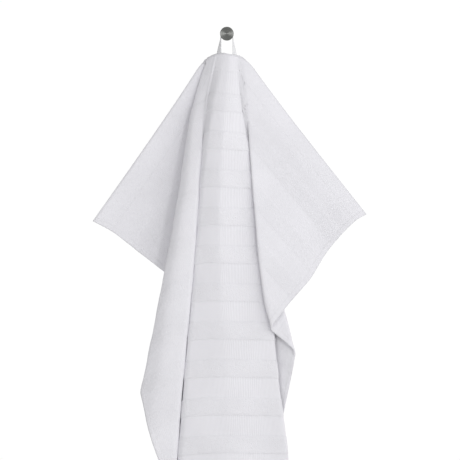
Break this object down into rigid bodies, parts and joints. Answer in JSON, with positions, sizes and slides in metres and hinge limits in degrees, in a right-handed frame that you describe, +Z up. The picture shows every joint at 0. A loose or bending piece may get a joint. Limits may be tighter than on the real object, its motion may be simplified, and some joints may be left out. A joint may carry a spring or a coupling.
{
  "type": "bath towel on a wall peg",
  "caption": "White ribbed terry bath towel, gathered in folds below a tape loop on a round steel wall peg.",
  "frame": {"origin": "centre of the peg's back face, on the wall's plane", "axes": "+X to the right seen from the room, +Y out of the room into the wall, +Z up"},
  "size_m": [0.4389, 0.0729, 1.4854],
  "materials": {
    "towel_cloth": "terry pile",
    "loop_tape": "woven tape",
    "peg_steel": "turned"
  },
  "bodies": {
    "root": {"towel": "towel_cloth", "hanging_loop": "loop_tape", "wall_peg": "peg_steel"}
  },
  "joints": []
}
